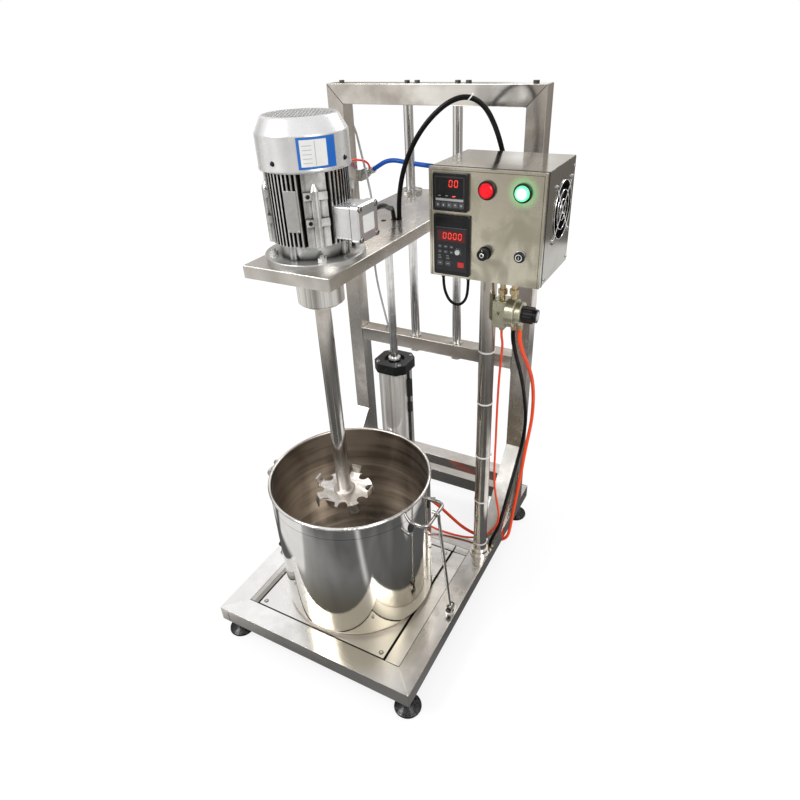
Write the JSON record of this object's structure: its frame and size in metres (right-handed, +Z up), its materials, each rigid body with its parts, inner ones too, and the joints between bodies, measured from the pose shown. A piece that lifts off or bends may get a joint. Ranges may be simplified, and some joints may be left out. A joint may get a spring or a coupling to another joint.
{
  "type": "high-speed disperser",
  "caption": "Lifting high-speed disperser: motor, shaft and toothed disc on a stainless portal frame over a round pail, with a control box on a post.",
  "frame": {"origin": "on the floor, in the middle of the outline seen from above, cords left out", "axes": "+X to the machine's right, where the control box is; +Y to its back, where the portal is; +Z up"},
  "size_m": [0.7224, 0.862, 1.333],
  "materials": {
    "satin_stainless": "satin",
    "polished_stainless": "polished",
    "chrome_steel": "bright",
    "zinc_steel": "zinc plated",
    "bearing_steel": "ground",
    "silver_paint": "silver paint",
    "dark_iron": "plain",
    "black_aluminium": "black anodised",
    "foot_rubber": "matt",
    "black_plastic": "fine grain",
    "silver_plastic": "satin",
    "red_plastic": "lit lens",
    "green_plastic": "lit lens",
    "zinc_casting": "plain casting",
    "fitting_brass": "nickel-tinted brass",
    "black_cable": "smooth jacket",
    "grey_cable": "smooth jacket",
    "blue_hose": "smooth",
    "red_tube": "smooth",
    "orange_hose": "smooth"
  },
  "bodies": {
    "frame": {"base_side_rails": "satin_stainless", "base_cross_rails": "satin_stainless", "tray_frame": "satin_stainless", "pail_tray": "satin_stainless", "control_box": "satin_stainless", "box_front": "satin_stainless", "uprights": "polished_stainless", "top_crossbar": "polished_stainless", "middle_crossbars": "polished_stainless", "braces": "polished_stainless", "control_pole": "polished_stainless", "cylinder_barrel": "polished_stainless", "pail": "polished_stainless", "pail_handles": "polished_stainless", "guide_rods": "chrome_steel", "fan_guard": "chrome_steel", "frame_fasteners": "zinc_steel", "clamp_brackets": "zinc_steel", "cylinder_head": "black_aluminium", "cylinder_foot": "black_aluminium", "levelling_feet": "foot_rubber", "speed_meter": "black_plastic", "drive_panel": "black_plastic", "button_bezels": "black_plastic", "fan_housing": "black_plastic", "hand_valve": "zinc_casting", "valve_fittings": "fitting_brass", "air_coupler": "fitting_brass", "lift_cable": "black_cable", "loop_cable": "black_cable", "black_hose": "black_cable", "rear_cable": "grey_cable", "blue_hose": "blue_hose", "red_tube": "red_tube", "orange_hose": "orange_hose", "orange_tube": "orange_hose"},
    "carriage": {"lift_beam": "satin_stainless", "guide_bushings": "bearing_steel", "piston_rod": "chrome_steel", "motor_flange": "silver_paint", "motor_stator": "silver_paint", "fan_cover": "silver_paint", "junction_box": "silver_paint", "flange_bolts": "zinc_steel", "bearing_housing": "satin_stainless", "motor_lead": "black_cable"},
    "spindle": {"mixer_shaft": "polished_stainless", "motor_rotor": "dark_iron", "dispersing_disc": "polished_stainless", "disc_nut": "polished_stainless", "motor_fan": "black_plastic"},
    "box_fan": {"fan_rotor": "black_plastic"},
    "left_clamp": {"clamp_rod_left": "zinc_steel"},
    "right_clamp": {"clamp_rod_right": "zinc_steel"},
    "stop_cap": {"stop_button": "red_plastic"},
    "start_cap": {"start_button": "green_plastic"},
    "speed_dial": {"speed_knob": "black_plastic"},
    "key_core": {"key_switch": "chrome_steel"},
    "drive_dial": {"drive_knob": "silver_plastic"},
    "valve_dial": {"valve_knob": "black_plastic"}
  },
  "joints": [
    {"name": "lift", "type": "slide", "parent": "frame", "child": "carriage", "axis": [0, 0, 1], "range_m": [-0.3, 0.147], "deforming": ["lift_cable"]},
    {"name": "spindle_turn", "type": "hinge", "parent": "carriage", "child": "spindle", "pos_m": [-0.0562, -0.1936, 0.458], "axis": [0, 0, 1], "continuous": true},
    {"name": "box_fan_turn", "type": "hinge", "parent": "frame", "child": "box_fan", "pos_m": [0.3178, 0.085, 1.124], "axis": [1, 0, 0], "continuous": true},
    {"name": "left_clamp_swing", "type": "hinge", "parent": "frame", "child": "left_clamp", "pos_m": [-0.3362, -0.1637, 0.128], "axis": [0, -1, 0], "range_deg": [0, 80]},
    {"name": "right_clamp_swing", "type": "hinge", "parent": "frame", "child": "right_clamp", "pos_m": [0.2238, -0.1637, 0.128], "axis": [0, 1, 0], "range_deg": [0, 80]},
    {"name": "stop_press", "type": "slide", "parent": "frame", "child": "stop_cap", "axis": [0, 1, 0], "range_m": [0, 0.0025], "stiffness_N_per_m": 800, "springref_m": -0.002},
    {"name": "start_press", "type": "slide", "parent": "frame", "child": "start_cap", "axis": [0, 1, 0], "range_m": [0, 0.0025], "stiffness_N_per_m": 800, "springref_m": -0.002},
    {"name": "speed_turn", "type": "hinge", "parent": "frame", "child": "speed_dial", "pos_m": [0.2418, -0.05, 1.057], "axis": [0, -1, 0], "range_deg": [-135, 135]},
    {"name": "key_turn", "type": "hinge", "parent": "frame", "child": "key_core", "pos_m": [0.3148, -0.04, 1.058], "axis": [0, -1, 0], "range_deg": [0, 90]},
    {"name": "drive_turn", "type": "hinge", "parent": "frame", "child": "drive_dial", "pos_m": [0.1853, -0.04, 1.054], "axis": [0, -1, 0], "range_deg": [-140, 140]},
    {"name": "valve_turn", "type": "hinge", "parent": "frame", "child": "valve_dial", "pos_m": [0.3138, 0.056, 0.899], "axis": [1, 0, 0], "range_deg": [-45, 45]}
  ]
}
